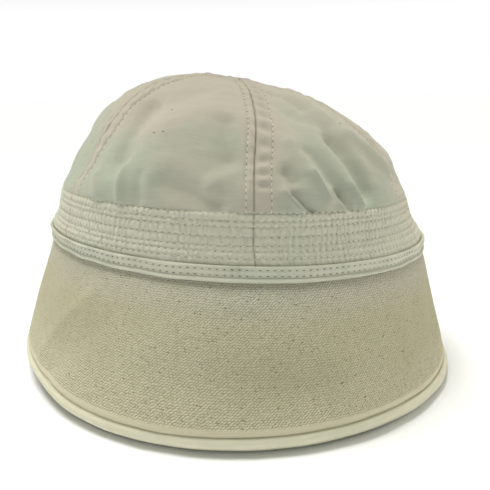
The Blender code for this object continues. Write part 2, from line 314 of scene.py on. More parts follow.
def makePoplin(name, look):
    # Washed cotton poplin: a close plain weave, matt, its cream uneven and greenish in places, with
    # painted light
    #  and shade: a lighter, warmer top and seam strips, a greener lower crown and darker grooves.
    # The threads are drawn twice as coarse as real ones, so that they just show.
    material, add = newMaterial(name)
    u, v, _ = add("SeparateXYZ", (add("UVMap", uv_map="clothUv"),)).node.outputs
    place = add("TexCoord", output="Object")
    quilt, seamPaintedHighlight, paintedShade = (
        add("Attribute", output="Fac", attribute_name=key) for key in ("quilt", "seamPaintedHighlight", "paintedShade")
    )
    threads = []
    for side in (u, v):
        count = add("MULTIPLY", (side, 2 * math.pi / (look["threadPitch"] * mm)))
        threads.append(add("SINE", (count,)))
    weave = add("MULTIPLY", threads)
    noises = []
    for key, detail in (("slub", 3.0), ("ripple", 1.0)):
        drawnOut = add("CombineXYZ", (
            add("DIVIDE", (u, look[key + "Long"] * mm)),
            add("DIVIDE", (v, look[key + "Tall"] * mm)),
        ))
        noises.append(add("TexNoise", {"Vector": drawnOut, "Scale": 1.0, "Detail": detail}))
    slub, ripple = noises
    height = add("MULTIPLY_ADD", (weave, look["threadShare"], slub))
    # Between the rows of quilting the cloth stands in short upright ripples
    drift = add("TexNoise", {"Vector": place, "Scale": 1.0 / (look["driftSize"] * mm)})
    drift = add("MULTIPLY", (drift, look["drift"]))
    beat = add("MULTIPLY_ADD", (u, 2 * math.pi / (look["beatPitch"] * mm), drift))
    beat = add("SINE", (beat,))
    ripple = add("MULTIPLY_ADD", (beat, look["beatDepth"], ripple))
    ripple = add("MULTIPLY", (ripple, quilt))
    height = add("MULTIPLY_ADD", (ripple, look["rippleDepth"], height))
    # Painted light: the top of the crown is painted a lighter, warm cream where the light from above
    # falls, and the cloth below it a greener painted shade
    paintedLightLean = add("MapRange", (
        add("SeparateXYZ", (place,), "Z"),
        look["paintedDimBelow"] * mm,
        look["paintedLitAbove"] * mm,
        look["paintedDimLean"],
        -look["paintedLitLean"],
    ))
    # Painted highlight: three layers of cloth lie beside a seam, and that raised strip is painted a
    # lighter, warmer cream where the light from above catches it
    paintedLightLean = add("MULTIPLY_ADD", (seamPaintedHighlight, -look["seamHighlightLean"], paintedLightLean))
    blotch = add("TexNoise", {
        "Vector": place,
        "Scale": 1.0 / (look["blotchSize"] * mm),
        "Detail": 4.0,
        "Roughness": 0.55,
    })
    tone = add("MapRange", (add("ADD", (blotch, paintedLightLean)), *look["blotchEdges"]))
    quilted = add("MULTIPLY", (quilt, look["quiltedShare"]))
    colour = linearColour(look["warm"])
    # The blotches, then the quilted band, and last the painted shade in creases and grooves
    for share, key in ((tone, "cool"), (quilted, "quilted"), (paintedShade, "paintedShadeTone")):
        colour = add("Mix", {0: share, 6: colour, 7: linearColour(look[key])}, 2, data_type="RGBA")
    fleck = add("SUBTRACT", (slub, 0.5))
    shade = add("MULTIPLY_ADD", (fleck, look["slubShade"], 1.0))
    grey = add("CombineColor", (shade, shade, shade))
    colour = add("Mix", {0: 1.0, 6: colour, 7: grey}, 2, data_type="RGBA", blend_type="MULTIPLY")
    finishCloth(add, look, colour, height)
    return material


piqueLook = {
    "top": "CFC9B0",
    "low": "9E997C",
    "stain": "C3BD9F",
    "stainSize": 55.56,
    "stainEdges": (0.4, 0.7),
    "paleFoot": "DAD2B9",
    "paleFootEdges": (-60.0, -79.0),
    "unstained": "CFC9BC",
    "unstainedEdges": (-42.0, -31.0),
    "plainEdges": (-76.0, -77.2),
    "plainHeight": 0.6,
    "pit": "8C866A",
    "pitShare": 0.07,
    "pitEdges": (0.5, 0.8),
    "grainPitch": 1.28,
    "grainRise": 0.92,
    "grainTilt": 44.0,
    "grainLong": 0.66,
    "grainWide": 0.36,
    "grainEdges": (-0.1, 0.75),
    "lowestGrain": 0.58,
    "stagger": 0.27,
    "wander": 1.5,
    "wanderSize": 2.381,
    "sideWander": 1.6,
    "fuzz": 0.7,
    "fuzzSize": 0.909,
    "depth": 0.26,
    "roughness": 0.9,
    "sheen": 0.08,
}


def makePique(name, look):
    # Cotton pique: short slanted grains of thread in staggered rows, matt cream, with a darker olive
    # painted shade
    #  between them. The grains are drawn a little coarser than real ones, so that each one shows.
    material, add = newMaterial(name)
    u, v, _ = add("SeparateXYZ", (add("UVMap", uv_map="clothUv"),)).node.outputs
    place = add("TexCoord", output="Object")
    wander, fuzz, stain = (
        add("TexNoise", {"Vector": place, "Scale": 1.0 / (look[key + "Size"] * mm), "Detail": detail})
        for key, detail in (("wander", 2.0), ("fuzz", 2.0), ("stain", 3.0))
    )
    wander = add("MULTIPLY", (wander, look["wander"]))
    row = add("MULTIPLY_ADD", (v, 1.0 / (look["grainRise"] * mm), wander))
    rowIndex = add("FLOOR", (row,))
    column = add("MULTIPLY", (rowIndex, look["stagger"]))
    column = add("MULTIPLY_ADD", (u, 1.0 / (look["grainPitch"] * mm), column))
    column = add("MULTIPLY_ADD", (wander, look["sideWander"], column))
    x, y = (
        add("SUBTRACT", (add("FRACT", (count,)), 0.5))
        for count in (column, row)
    )
    # Each grain is a dome on a slanted oval
    tilt = math.radians(look["grainTilt"])
    squares = []
    for half, shareX, shareY in (
        ("grainLong", math.cos(tilt), math.sin(tilt)),
        ("grainWide", -math.sin(tilt), math.cos(tilt)),
    ):
        offset = add("MULTIPLY", (y, shareY / look[half]))
        offset = add("MULTIPLY_ADD", (x, shareX / look[half], offset))
        squares.append(add("MULTIPLY", (offset, offset)))
    dome = add("SUBTRACT", (1.0, add("ADD", squares)))
    grain = add("POWER", (add("MAXIMUM", (dome, 0.0)), 0.5))
    # No two grains stand equally high
    cell = add("CombineXYZ", (add("FLOOR", (column,)), rowIndex))
    chance = add("TexWhiteNoise", {"Vector": cell}, noise_dimensions="2D")
    lowest = look["lowestGrain"]
    chance = add("MULTIPLY_ADD", (chance, 1.0 - lowest, lowest))
    fuzz = add("SUBTRACT", (fuzz, 0.5))
    fuzz = add("MULTIPLY", (fuzz, look["fuzz"]))
    grain = add("MULTIPLY_ADD", (grain, chance, fuzz))
    # Along the hem's seam the brim is pressed flat, so its weave hardly shows
    plain, paleFoot, unstained = (
        add("MapRange", (v, look[key + "Edges"][0] * mm, look[key + "Edges"][1] * mm))
        for key in ("plain", "paleFoot", "unstained")
    )
    grain = add("Mix", {"Factor": plain, "A": grain, "B": look["plainHeight"]})
    # Towards its foot the brim is paler, and the cloth under the piping has kept its greyer white
    stain = add("MapRange", (stain, *look["stainEdges"]))
    colour = linearColour(look["top"])
    for share, key in ((stain, "stain"), (paleFoot, "paleFoot"), (unstained, "unstained")):
        colour = add("Mix", {0: share, 6: colour, 7: linearColour(look[key])}, 2, data_type="RGBA")
    # Painted shade: the olive low colour between the grains, where shade falls
    shown = add("MapRange", (grain, *look["grainEdges"]))
    colour = add("Mix", {0: shown, 6: linearColour(look["low"]), 7: colour}, 2, data_type="RGBA")
    # Here and there a deeper hole at the corner between four grains is painted dark as painted shade
    cornerX, cornerY = (
        add("FLOOR", (add("ADD", (count, 0.5)),))
        for count in (column, row)
    )
    cornerSeed = 5.0
    corner = add("CombineXYZ", (cornerX, cornerY, cornerSeed))
    luck = add("TexWhiteNoise", {"Vector": corner}, noise_dimensions="3D")
    pit = add("LESS_THAN", (luck, look["pitShare"]))
    pit = add("MULTIPLY", (pit, add("SUBTRACT", (1.0, plain))))
    sides = [add("ABSOLUTE", (side,)) for side in (x, y)]
    inCorner = add("MapRange", (add("ADD", sides), *look["pitEdges"]))
    pit = add("MULTIPLY", (pit, inCorner))
    # Painted shade darkens the groove along the hem to the olive between the grains
    paintedShade = add("Attribute", output="Fac", attribute_name="paintedShade")
    for share, key in ((pit, "pit"), (paintedShade, "low")):
        colour = add("Mix", {0: share, 6: colour, 7: linearColour(look[key])}, 2, data_type="RGBA")
    finishCloth(add, look, colour, grain)
    return material


# The shade inside a needle hole: the same cotton where next to no light reaches
holeLook = {
    "low": "605E4B",
    "high": "7A7862",
    "grain": 1.111,
    "depth": 0.02,
    "roughness": 0.95,
    "sheen": 0.0,
}
# Spun cotton sewing thread: matt cream with a fine twist
threadLook = dict(low="DCD6C4", high="DCD6C4", grain=0.5, depth=0.04, roughness=0.7, sheen=0.1)
# Small specks of dirt and lint caught in the cloth: matt grey brown
dirtLook = dict(holeLook, low="726C5A", high="968F7A", grain=0.6667)
# The sheet under the cap: matt white paper with a faint tooth
paperLook = dict(holeLook, low="F5F5FB", high="F5F5FB", roughness=0.9)


def makeSpeckled(name, look):
    # A plain matt surface, finely speckled between two near tones
    material, add = newMaterial(name)
    place = add("TexCoord", output="Object")
    speckle = add("TexNoise", {"Vector": place, "Scale": 1.0 / (look["grain"] * mm)})
    tones = {0: speckle, 6: linearColour(look["low"]), 7: linearColour(look["high"])}
    finishCloth(add, look, add("Mix", tones, 2, data_type="RGBA"), speckle)
    return material


# Bias tape is the same poplin: a paler, even white, with a grey brown painted shade in its grooves
tapeLook = dict(poplinLook, paintedDimLean=0.0, warm="CBC5B6", cool="C2C5B6", paintedShadeTone="807E6B")
# The rolled binding is a warm cream, painted paler as painted light where the light above falls on it,
# and darker in its groove and on its underside as painted shade
hemLook = dict(poplinLook, paintedDimLean=0.0, warm="DFDAC4", cool="D6D2BA", paintedShadeTone="8F886A")
# The lining is hidden from the light and has stayed a little greyer
innerLook = dict(poplinLook, warm="BDB6A9", cool="B5B7AB")

crownPoplin = makePoplin("washed_cotton_poplin", poplinLook)
tapePoplin = makePoplin("bias_cut_cotton_tape", tapeLook)
hemPoplin = makePoplin("rolled_cotton_binding", hemLook)
innerPoplin = makePoplin("cotton_headband_lining", innerLook)
brimPique = makePique("cotton_pique", piqueLook)
sewingThread = makeSpeckled("cotton_sewing_thread", threadLook)
holeShade = makeSpeckled("shaded_cotton_in_needle_holes", holeLook)
speckDirt = makeSpeckled("specks_of_dirt", dirtLook)
print("materials made")


# Meshes
madePieces = []


def addObject(name, data):
    item = bpy.data.objects.new(name, data)
    bpy.context.scene.collection.objects.link(item)
    return item


def addPiece(name, mesh):
    piece = addObject(name, mesh)
    madePieces.append(piece)
    return piece


def loft(name, grid, uvU, uvV, material, closedRound, closedSection, marks):
    # grid is (rows up, columns round, 3); faces look outwards where rows run up the outer side
    rows, columns = grid.shape[:2]
    rowSpan = rows if closedSection else rows - 1
    columnSpan = columns if closedRound else columns - 1
    r, c = np.meshgrid(np.arange(rowSpan), np.arange(columnSpan), indexing="ij")
    r, c = r.ravel(), c.ravel()
    low, high = r * columns, (r + 1) % rows * columns
    nextC = (c + 1) % columns
    faces = np.stack((low + c, low + nextC, high + nextC, high + c), axis=1)
    u = np.stack((uvU[c], uvU[c + 1], uvU[c + 1], uvU[c]), axis=1)
    v = np.stack((uvV[r], uvV[r], uvV[r + 1], uvV[r + 1]), axis=1)
    mesh = bpy.data.meshes.new(name)
    mesh.from_pydata((grid.reshape(-1, 3) * mm).tolist(), [], faces.tolist())
    layer = mesh.uv_layers.new(name="clothUv")
    layer.data.foreach_set("uv", (np.stack((u, v), axis=-1) * mm).ravel())
    for key, values in marks.items():
        attribute = mesh.attributes.new(key, "FLOAT", "POINT")
        attribute.data.foreach_set("value", values.ravel())
    mesh.materials.append(material)
    mesh.shade_smooth()
    return addPiece(name, mesh)


def shell(name, outer, inner, uvU, uvV, material, closedRound, marks):
    # A closed wall: the section runs up the outer face and back down the inner one.
    # marks gives the values of each attribute on the outer and on the inner face.
    grid = np.concatenate((outer, inner[::-1]), axis=0)
    sectionV = np.concatenate((uvV, uvV[::-1], uvV[:1]))
    marks = {key: np.concatenate((face, back[::-1])) for key, (face, back) in marks.items()}
    piece = loft(name, grid, uvU, sectionV, material, closedRound, True, marks)
    if not closedRound:
        closeSides(piece.data, *outer.shape[:2])
    return piece


def closeSides(mesh, rows, columns):
    # The two seam edges of a gore are closed with a strip of faces between its outer and inner face
    work = bmesh.new()
    work.from_mesh(mesh)
    work.verts.ensure_lookup_table()
    last = 2 * rows - 1
    for r in range(rows - 1):
        for column, way in ((0, 1), (columns - 1, -1)):
            ring = [work.verts[row * columns + column] for row in (last - r, r, r + 1, last - r - 1)]
            work.faces.new(ring[::way]).smooth = True
    work.to_mesh(mesh)
    work.free()


# Crown
seamWork = {
    "valley": 1.2,
    "grooveDepth": 0.55,
    "grooveWidth": 0.34,
    "grooveSharpness": 1.3,
    "grooveOnBand": 0.45,
    "ridge": 0.5,
    "ridgeEdge": 0.8,
    "rowLeft": -3.0,
    "rowRight": 6.6,
    "rowDepth": 0.32,
    "rowWidth": 0.85,
    "puckerPitch": 7.2,
    "puckerDepth": 0.75,
    "puckerSlant": 0.3,
    "puckerWander": ((2.2, 34.0, 41),),
    "puckerWidth": 0.42,
    "leftPucker": 0.4,
    "leftPuckerWidth": 1.8,
    "leftPuckerWave": (1.3, 1.7),  # its pitch and start against those on the right
    "footRun": 14.0,
    "apexRun": 16.0,
    "tightness": (1.0, 0.4, 0.4, 0.45, 0.4, 0.6),
    "stripMiddle": 1.8,
    "stripWidth": 6.0,
}
quilting = {
    "rows": (0.3, -2.5, -4.6, -8.1, -11.4, -13.6, -16.2, -19.3),
    "depth": 0.6,
    "width": 0.55,
    "sharpness": 1.5,
    "ripplePitch": 4.6,
    "rippleDepth": 0.22,
    "rippleWander": ((2.0, 14.0, 31),),
    "evenness": 0.6,
    "patches": ((0.5, 30.0, 32),),
    "strengths": (0.1, 1.5),
}
crownCloth = {
    "thickness": 1.3,
    "columns": 116,
    "crowding": 0.58,
    "bandRows": 66,
    "crownRows": 92,
    "rowsChange": 1.5,
    "apexHole": 0.5,
    "slack": ((0.7, 46.0, 3), (0.34, 19.0, 4), (0.12, 8.0, 5)),
    "slackFrom": 1.0,
    "slackRun": 10.0,
    "foldFrom": -1.0,
    "foldRun": 3.0,
    "quiltFrom": 1.0,
    "quiltRun": 1.5,
    "tuck": 0.9,
    "tuckRun": 3.0,
    "innerDip": 0.5,
    "uvRadius": 85.0,
    "rowPaintedShade": 0.6,
    "rowPaintedShadeFrom": -0.25,
    "rowPaintedShadeTo": -0.9,
    "groovePaintedShade": 0.75,
    "groovePaintedShadeWidth": 0.38,
}

# Dents and folds: turn, up, endTurn, endUp, width, depth, and a sharpness where one isn't soft,
# which goes down to 1 for a crease
crownFolds = (
    (32, 37, 39, 8, 4.6, -4.6),
    (42, 40, 55, 16, 4.6, 2.8),
    (14, 33, 20, 16, 4.0, 1.1),
    (19, 17, 23.5, 5, 1.9, 2.2, 1.5),
    (19.5, 28, 27.5, 7, 4.2, -2.0),
    (12, 18, 13.5, 13, 2.8, -2.4),
    (10.5, 9, 15.5, 0.8, 1.2, 2.2, 1.3),
    (13.2, 7.5, 18.5, 0.8, 1.8, -2.6, 1.5),
    (27.5, 9, 30.5, -0.5, 1.4, -2.4, 1.3),
    (25, 9, 28.5, 1, 1.6, 1.7, 1.5),
    (31.5, 11, 35.5, 0, 1.7, 2.2, 1.4),
    (22, 52, 33, 44, 5.0, -1.6),
    (-41, 46, -38, 20, 6.0, -3.2),
    (-20, 11, -6, 3, 4.6, -2.4),
    (-34, 15, -33, 2, 2.2, 2.0, 1.6),
    (-7, 40, -4, 24, 4.6, -2.6),
    (-27, 32, -21, 18, 6.0, 1.5),
    (-6, 14, -9, 9, 3.5, 1.4),
    (-45, 10, -42, 3, 3.6, 1.7),
    (-28, 12, -27, 3, 2.6, -1.3),
    (18.5, 74, 27, 58, 3.0, -1.9, 1.5),
    (27, 70, 36, 54, 4.5, 1.1),
    (-22, 60, -34, 46, 7.0, -1.2),
    (150, 28, 165, 10, 11.0, -1.9),
    (-160, 24, -150, 6, 7.0, 1.4, 1.7),
    (-105, 26, -112, 8, 9.0, -1.7),
    (112, 30, 104, 9, 5.0, 1.2, 1.6),
    (96, 22, 90, 4, 5.5, -1.3, 1.8),
    (-128, 34, -136, 10, 4.5, 1.1, 1.6),
    (178, 46, 172, 22, 6.0, 0.9, 1.8),
    (-82, 40, -76, 12, 5.0, 0.9, 1.8),
)


def seamDistance(station, turn):
    # Signed length of cloth from the nearest seam, positive towards the right of it, and its share
    # of the way to the middle of the gore
    pitch = 360.0 / capForm["goreCount"]
    offset = turnDifference(turn, capForm["frontSeam"])
    index = np.round(offset / pitch)
    near = offset - index * pitch
    # How tightly each seam was sewn: the front one puckers and sinks the most
    tightness = np.take(seamWork["tightness"], index.astype(int) % capForm["goreCount"])
    return np.radians(near) * radiusAt(station), np.abs(near) / (0.5 * pitch), tightness


def foldRelief(up, station, turn, folds=crownFolds):
    relief = np.zeros(np.broadcast(up, turn).shape)
    radius = radiusAt(station)
    for foldTurn, foldUp, endTurn, endUp, width, depth, *sharpness in folds:
        middle = 0.5 * (foldTurn + endTurn)
        across = np.radians(turnDifference(turn, middle)) * radius
        startX = math.radians(foldTurn - middle) * float(radiusAt(stationAtUp(foldUp)))
        endX = math.radians(endTurn - middle) * float(radiusAt(stationAtUp(endUp)))
        runX, runY = endX - startX, endUp - foldUp
        along = ((across - startX) * runX + (up - foldUp) * runY) / (runX ** 2 + runY ** 2)
        clipped = np.clip(along, 0.0, 1.0)
        distance = np.hypot(across - startX - runX * clipped, up - foldUp - runY * clipped)
        relief = relief + depth * gauss(distance, width, *sharpness)
    return relief


def quiltRelief(up, station, turn, point):
    # Rows of stitching pull the band in, and the cloth between them puffs out in small ripples
    rows = quilting["rows"]
    pull = np.zeros(np.shape(up + turn))
    for row in rows:
        pull = pull - quilting["depth"] * gauss(up - row, quilting["width"], quilting["sharpness"])
    rowIndex = np.interp(-up, [-row for row in rows], range(len(rows)))
    puff = np.abs(np.sin(math.pi * rowIndex))
    roundLength = np.radians(turn) * capForm["bandRadius"]
    rowShift = np.sin(np.floor(rowIndex) * 12.9898) * 6.3  # any fixed start for each row
    wander = slackOf(point, quilting["rippleWander"])
    ripple = np.sin(2 * math.pi * roundLength / quilting["ripplePitch"] + rowShift + wander)
    strength = np.clip(quilting["evenness"] + slackOf(point, quilting["patches"]), *quilting["strengths"])
    return pull + quilting["rippleDepth"] * puff * ripple * strength


def seamRelief(up, station, turn, point):
    form = seamWork
    distance, fromSeam, tightness = seamDistance(station, turn)
    onCrown = smoothStep(up / form["footRun"])
    free = onCrown * smoothStep((apexUp - up) / form["apexRun"])
    relief = -form["valley"] * (1.0 - fromSeam) ** 2 * free
    groove = gauss(distance, form["grooveWidth"], form["grooveSharpness"])
    groove = groove * (form["grooveOnBand"] + (1.0 - form["grooveOnBand"]) * onCrown)
    relief = relief - form["grooveDepth"] * groove * tightness
    # The seam allowance lies under the cloth on both sides, out to its two rows of topstitching
    left, right = form["rowLeft"], form["rowRight"]
    edge = form["ridgeEdge"]
    allowance = smoothStep((distance - left) / edge) * smoothStep((right - distance) / edge)
    relief = relief + form["ridge"] * allowance * free
    for place in (left, right):
        relief = relief - form["rowDepth"] * gauss(distance - place, form["rowWidth"]) * free
    phase = 2 * math.pi * (up + distance * form["puckerSlant"]) / form["puckerPitch"]
    phase = phase + slackOf(point, form["puckerWander"])
    between = gauss(distance - 0.5 * right, form["puckerWidth"] * right)
    other = gauss(distance - 0.5 * left, form["leftPuckerWidth"])
    pitch, start = form["leftPuckerWave"]
    pucker = np.sin(phase) * between + form["leftPucker"] * np.sin(phase * pitch + start) * other
    return relief + form["puckerDepth"] * pucker * tightness * free


def tuckRelief(station):
    # The cloth is drawn in behind the tape
    level = levelAt(station)
    run = crownCloth["tuckRun"]
    below = smoothStep((level - (tapeFootLevel - run)) / run)
    above = smoothStep((tapeTopLevel + run - level) / run)
    return -crownCloth["tuck"] * np.minimum(below, above)


def crownFold(up, station, turn):
    # The folds end in the first row of quilting
    ending = smoothStep((up - crownCloth["foldFrom"]) / crownCloth["foldRun"])
    return foldRelief(up, station, turn) * ending


def crownRelief(station, turn, point):
    up = upAtStation(station)
    relief = tuckRelief(station) + quiltRelief(up, station, turn, point)
    relief = relief + seamRelief(up, station, turn, point) + crownFold(up, station, turn)
    free = smoothStep((up - crownCloth["slackFrom"]) / crownCloth["slackRun"])
    return relief + slackOf(point, crownCloth["slack"]) * free


def paintedShadeOf(relief, floor, ceiling):
    # Painted shade: creases and stitched grooves are painted a darker tone than the cloth that stands
    # proud
    return np.clip((ceiling - relief) / (ceiling - floor), 0.0, 1.0)


def seamColumns(count, pitchLength):
    # Columns crowd towards the two seams of a gore, where the grooves are narrow
    share = np.linspace(-1.0, 1.0, count)
    crowding = crownCloth["crowding"]
    bent = (1.0 - crowding) * share + crowding * np.sin(share * math.pi / 2)
    return 0.5 * (bent / bent[-1] + 1.0) * pitchLength


def makeGore(index):
    form = crownCloth
    pitch = 360.0 / capForm["goreCount"]
    turns = capForm["frontSeam"] + index * pitch + seamColumns(form["columns"], pitch)
    ups = np.concatenate((
        np.linspace(tapeUp(0.5), form["rowsChange"], form["bandRows"], endpoint=False),
        np.linspace(form["rowsChange"], apexUp - form["apexHole"], form["crownRows"]),
    ))
    up, turn = np.meshgrid(ups, turns, indexing="ij")
    station, point, way = clothAt(up, turn)
    relief = crownRelief(station, turn, point)
    plain = tuckRelief(station) + crownFold(up, station, turn)
    back = np.minimum(plain, relief + form["innerDip"]) - form["thickness"]
    outer = point + way * relief[..., None]
    inner = point + way * back[..., None]
    # Painted shade in the grooves of the quilting rows and along each seam
    sewn = quiltRelief(up, station, turn, point) + seamRelief(up, station, turn, point)
    distance, fromSeam, tightness = seamDistance(station, turn)
    sewn = sewn + seamWork["valley"] * (1.0 - fromSeam) ** 2
    paintedShade = form["rowPaintedShade"] * paintedShadeOf(sewn, form["rowPaintedShadeTo"], form["rowPaintedShadeFrom"])
    paintedShade = np.maximum(paintedShade, form["groovePaintedShade"] * gauss(distance, form["groovePaintedShadeWidth"]) * tightness)
    quilt = smoothStep((form["quiltFrom"] - up) / form["quiltRun"])
    # A painted highlight along the raised strip beside each seam
    seamHighlight = gauss(distance - seamWork["stripMiddle"], seamWork["stripWidth"])
    marks = {"paintedShade": (paintedShade, 0.0 * paintedShade), "quilt": (quilt, 0.0 * quilt), "seamPaintedHighlight": (seamHighlight, seamHighlight)}
    uvU = np.radians(turns) * form["uvRadius"]
    piece = shell("crownGore%d" % (index + 1), outer, inner, uvU, ups, crownPoplin, False, marks)
    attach(piece, "root")
    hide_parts("crown_gore_%d" % (index + 1))


# Headband
headbandForm = {
    "face": 1.9,
    "thickness": 1.4,
    "quilting": 0.8,
    "footShare": 0.55,
    "topUp": -0.2,
    "columns": 360,
    "rows": 26,
}


def ringTurns(columns):
    return capForm["frontSeam"] + np.linspace(0.0, 360.0, columns, endpoint=False)


def ringUv(columns, radius):
    return np.radians(np.linspace(0.0, 360.0, columns + 1)) * radius


def makeHeadband():
    form = headbandForm
    ups = np.linspace(tapeUp(form["footShare"]), form["topUp"], form["rows"])
    up, turn = np.meshgrid(ups, ringTurns(form["columns"]), indexing="ij")
    station, point, way = clothAt(up, turn)
    face = tuckRelief(station) - form["face"]
    back = face - form["thickness"] - form["quilting"] * quiltRelief(up, station, turn, point)
    outer = point + way * face[..., None]
    inner = point + way * back[..., None]
    uvU = ringUv(form["columns"], capForm["bandRadius"])
    piece = shell("quiltedHeadband", outer, inner, uvU, ups, innerPoplin, True, {})
    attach(piece, "root")
    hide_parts("headband")


# Tape and piping
tapeForm = {
    "proud": 0.6,
    "wall": 1.2,
    "pipingRadius": 0.72,
    "pipingOut": 0.55,
    "pipingArc": (-115.0, 75.0, 11),  # from, to and points
    "grooveProud": 0.15,
    "grooveWidth": 0.12,
    "faceFoot": 0.5,
    "faceTop": 0.25,
    "facePoints": 14,
    "topEdge": ((0.1, -0.05), (0.45, 0.12)),  # in from the face, and up from the tape's top
    "backShares": (1.0, 0.66, 0.33),
    "backFoot": 0.1,
    "stitchRows": (0.79, 0.40),
    "stitchDepth": 0.3,
    "stitchWidth": 0.35,
    "ripplePitch": 2.9,
    "rippleDepth": 0.07,
    "rippleWander": ((1.6, 22.0, 51),),
    "rippleFrom": 0.5,
    "rippleRun": 0.4,
    "paintedShade": 0.5,
    "paintedShadeFrom": -0.1,
    "paintedShadeTo": -0.6,
    "slack": ((0.16, 18.0, 52), (0.08, 7.0, 53)),
    "sway": ((0.18, 26.0, 54),),
    "columns": 900,
}


def tapeOutline():
    # Up the tape's face from its foot, where the piping is a round cord, and down its back
    form = tapeForm
    height = capForm["tapeHeight"]
    cord = form["pipingRadius"]
    outline = []
    for angle in np.radians(np.linspace(*form["pipingArc"])):
        outline.append((form["pipingOut"] + cord * math.cos(angle), cord * (1.0 + math.sin(angle))))
    outline.append((form["grooveProud"], 2.0 * cord + form["grooveWidth"]))
    for rise in np.linspace(2.0 * cord + form["faceFoot"], height - form["faceTop"], form["facePoints"]):
        dip = sum(gauss(rise - share * height, form["stitchWidth"]) for share in form["stitchRows"])
        outline.append((form["proud"] - form["stitchDepth"] * dip, rise))
    outline += [(form["proud"] - inwards, height + above) for inwards, above in form["topEdge"]]
    inside = form["proud"] - form["wall"]
    outline += [(inside, share * height) for share in form["backShares"]]
    return np.array(outline + [(inside, form["backFoot"])]).T


def makeTape():
    form = tapeForm
    proud, rise = tapeOutline()
    level, turn = np.meshgrid(tapeFootLevel + rise, ringTurns(form["columns"]), indexing="ij")
    point, way = edgeAt(level, turn)
    roundLength = np.radians(turn) * capForm["bandRadius"]
    inside = form["proud"] - form["wall"]
    onFace = smoothStep((proud - inside - form["rippleFrom"]) / form["rippleRun"])[:, None]
    phase = 2 * math.pi * roundLength / form["ripplePitch"] + slackOf(point, form["rippleWander"])
    ripple = form["rippleDepth"] * np.sin(phase)
    stand = proud[:, None] + (ripple + slackOf(point, form["slack"])) * onFace
    grid = point + way * stand[..., None]
    grid[..., 2] += slackOf(point, form["sway"]) * onFace
    # Painted shade in the stitched grooves of the tape's face
    paintedShade = form["paintedShade"] * paintedShadeOf(stand - form["proud"], form["paintedShadeTo"], form["paintedShadeFrom"]) * onFace
    sectionV = np.concatenate((rise, rise[:1]))
    uvU = ringUv(form["columns"], capForm["bandRadius"])
    piece = loft("bandTapeWithPiping", grid, uvU, sectionV, tapePoplin, True, True, {"paintedShade": paintedShade})
    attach(piece, "root")
    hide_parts("band_tape")


# Brim
brimForm = {
    "wall": 2.0,
    "columns": 480,
    "rows": 46,
    "topShare": 0.35,
    "footUp": 0.1,
    "hemRidgeUp": 1.7,
    "hemRidge": 0.32,
    "hemRidgeWidth": 0.8,
    "grooveDepth": 0.45,
    "grooveWidth": 1.0,
    "groovePaintedShade": 0.35,
    "slack": ((0.55, 60.0, 61), (0.22, 24.0, 62)),
    "edgeSlack": 0.35,
    "edgeRun": 12.0,
    "foldTop": 4.0,
    "foldRun": 5.0,
}

# The same columns as the crown's folds, lower down on the brim
brimFolds = (
    (-57, -72, -38, -36, 4.0, 0.9),
    (-50, -76, -30, -44, 4.5, -0.6),
    (-22, -34, 4, -33, 3.0, 0.45),
    (-8, -60, 18, -66, 9.0, -0.8),
    (30, -70, 44, -44, 6.0, 0.7),
    (58, -66, 66, -40, 7.0, -0.7),
    (120, -60, 140, -50, 9.0, 0.8),
    (-150, -66, -128, -52, 8.0, -0.8),
)
brimLowUp = float(upAtStation(stationAtLevel(grooveLevel)))
brimHighUp = tapeUp(brimForm["topShare"])


def brimRelief(up, station, turn, point):
    form = brimForm
    fromGroove, fromTop = up - brimLowUp, brimHighUp - up
    relief = tuckRelief(station)
    relief = relief + form["hemRidge"] * gauss(fromGroove - form["hemRidgeUp"], form["hemRidgeWidth"])
    relief = relief - form["grooveDepth"] * gauss(fromGroove, form["grooveWidth"])
    ending = smoothStep((fromTop - form["foldTop"]) / form["foldRun"])
    relief = relief + foldRelief(up, station, turn, brimFolds) * ending
    free = smoothStep(fromGroove / form["edgeRun"]) * smoothStep(fromTop / form["edgeRun"])
    free = form["edgeSlack"] + (1.0 - form["edgeSlack"]) * free
    return relief + slackOf(point, form["slack"]) * free


def makeBrim():
    form = brimForm
    ups = np.linspace(brimLowUp + form["footUp"], brimHighUp, form["rows"])
    up, turn = np.meshgrid(ups, ringTurns(form["columns"]), indexing="ij")
    station, point, way = clothAt(up, turn)
    relief = brimRelief(up, station, turn, point)
    outer = point + way * relief[..., None]
    inner = point + way * (relief - form["wall"])[..., None]
    # The inner face starts no lower than the outer one, clear of the hem
    inner[0, :, 2] = np.maximum(inner[0, :, 2], outer[0, :, 2])
    # Painted shade in the groove along the hem
    paintedShade = form["groovePaintedShade"] * gauss(up - brimLowUp, form["grooveWidth"])
    uvU = ringUv(form["columns"], capForm["bandRadius"] + 0.5 * capForm["brimFlare"])
    piece = shell("piqueBrim", outer, inner, uvU, ups, brimPique, True, {"paintedShade": (paintedShade, 0.0 * paintedShade)})
    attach(piece, "root")
    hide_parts("brim")


# Hem
hemForm = {
    "proud": 0.9,
    "thickness": 4.4,
    "columns": 720,
    "sides": 24,
    "squareness": 0.72,
    "slack": ((0.16, 21.0, 71),),
    "drawn": 0.09,
    "drawnPitch": 3.1,
    "drawnWander": ((1.0, 24.0, 72),),
    "uvRadius": 108.0,
    "uvStep": 0.9,
    "topPaintedShade": 0.4,
    "topPaintedShadeRun": 0.25,
    "footPaintedShade": 0.42,
}


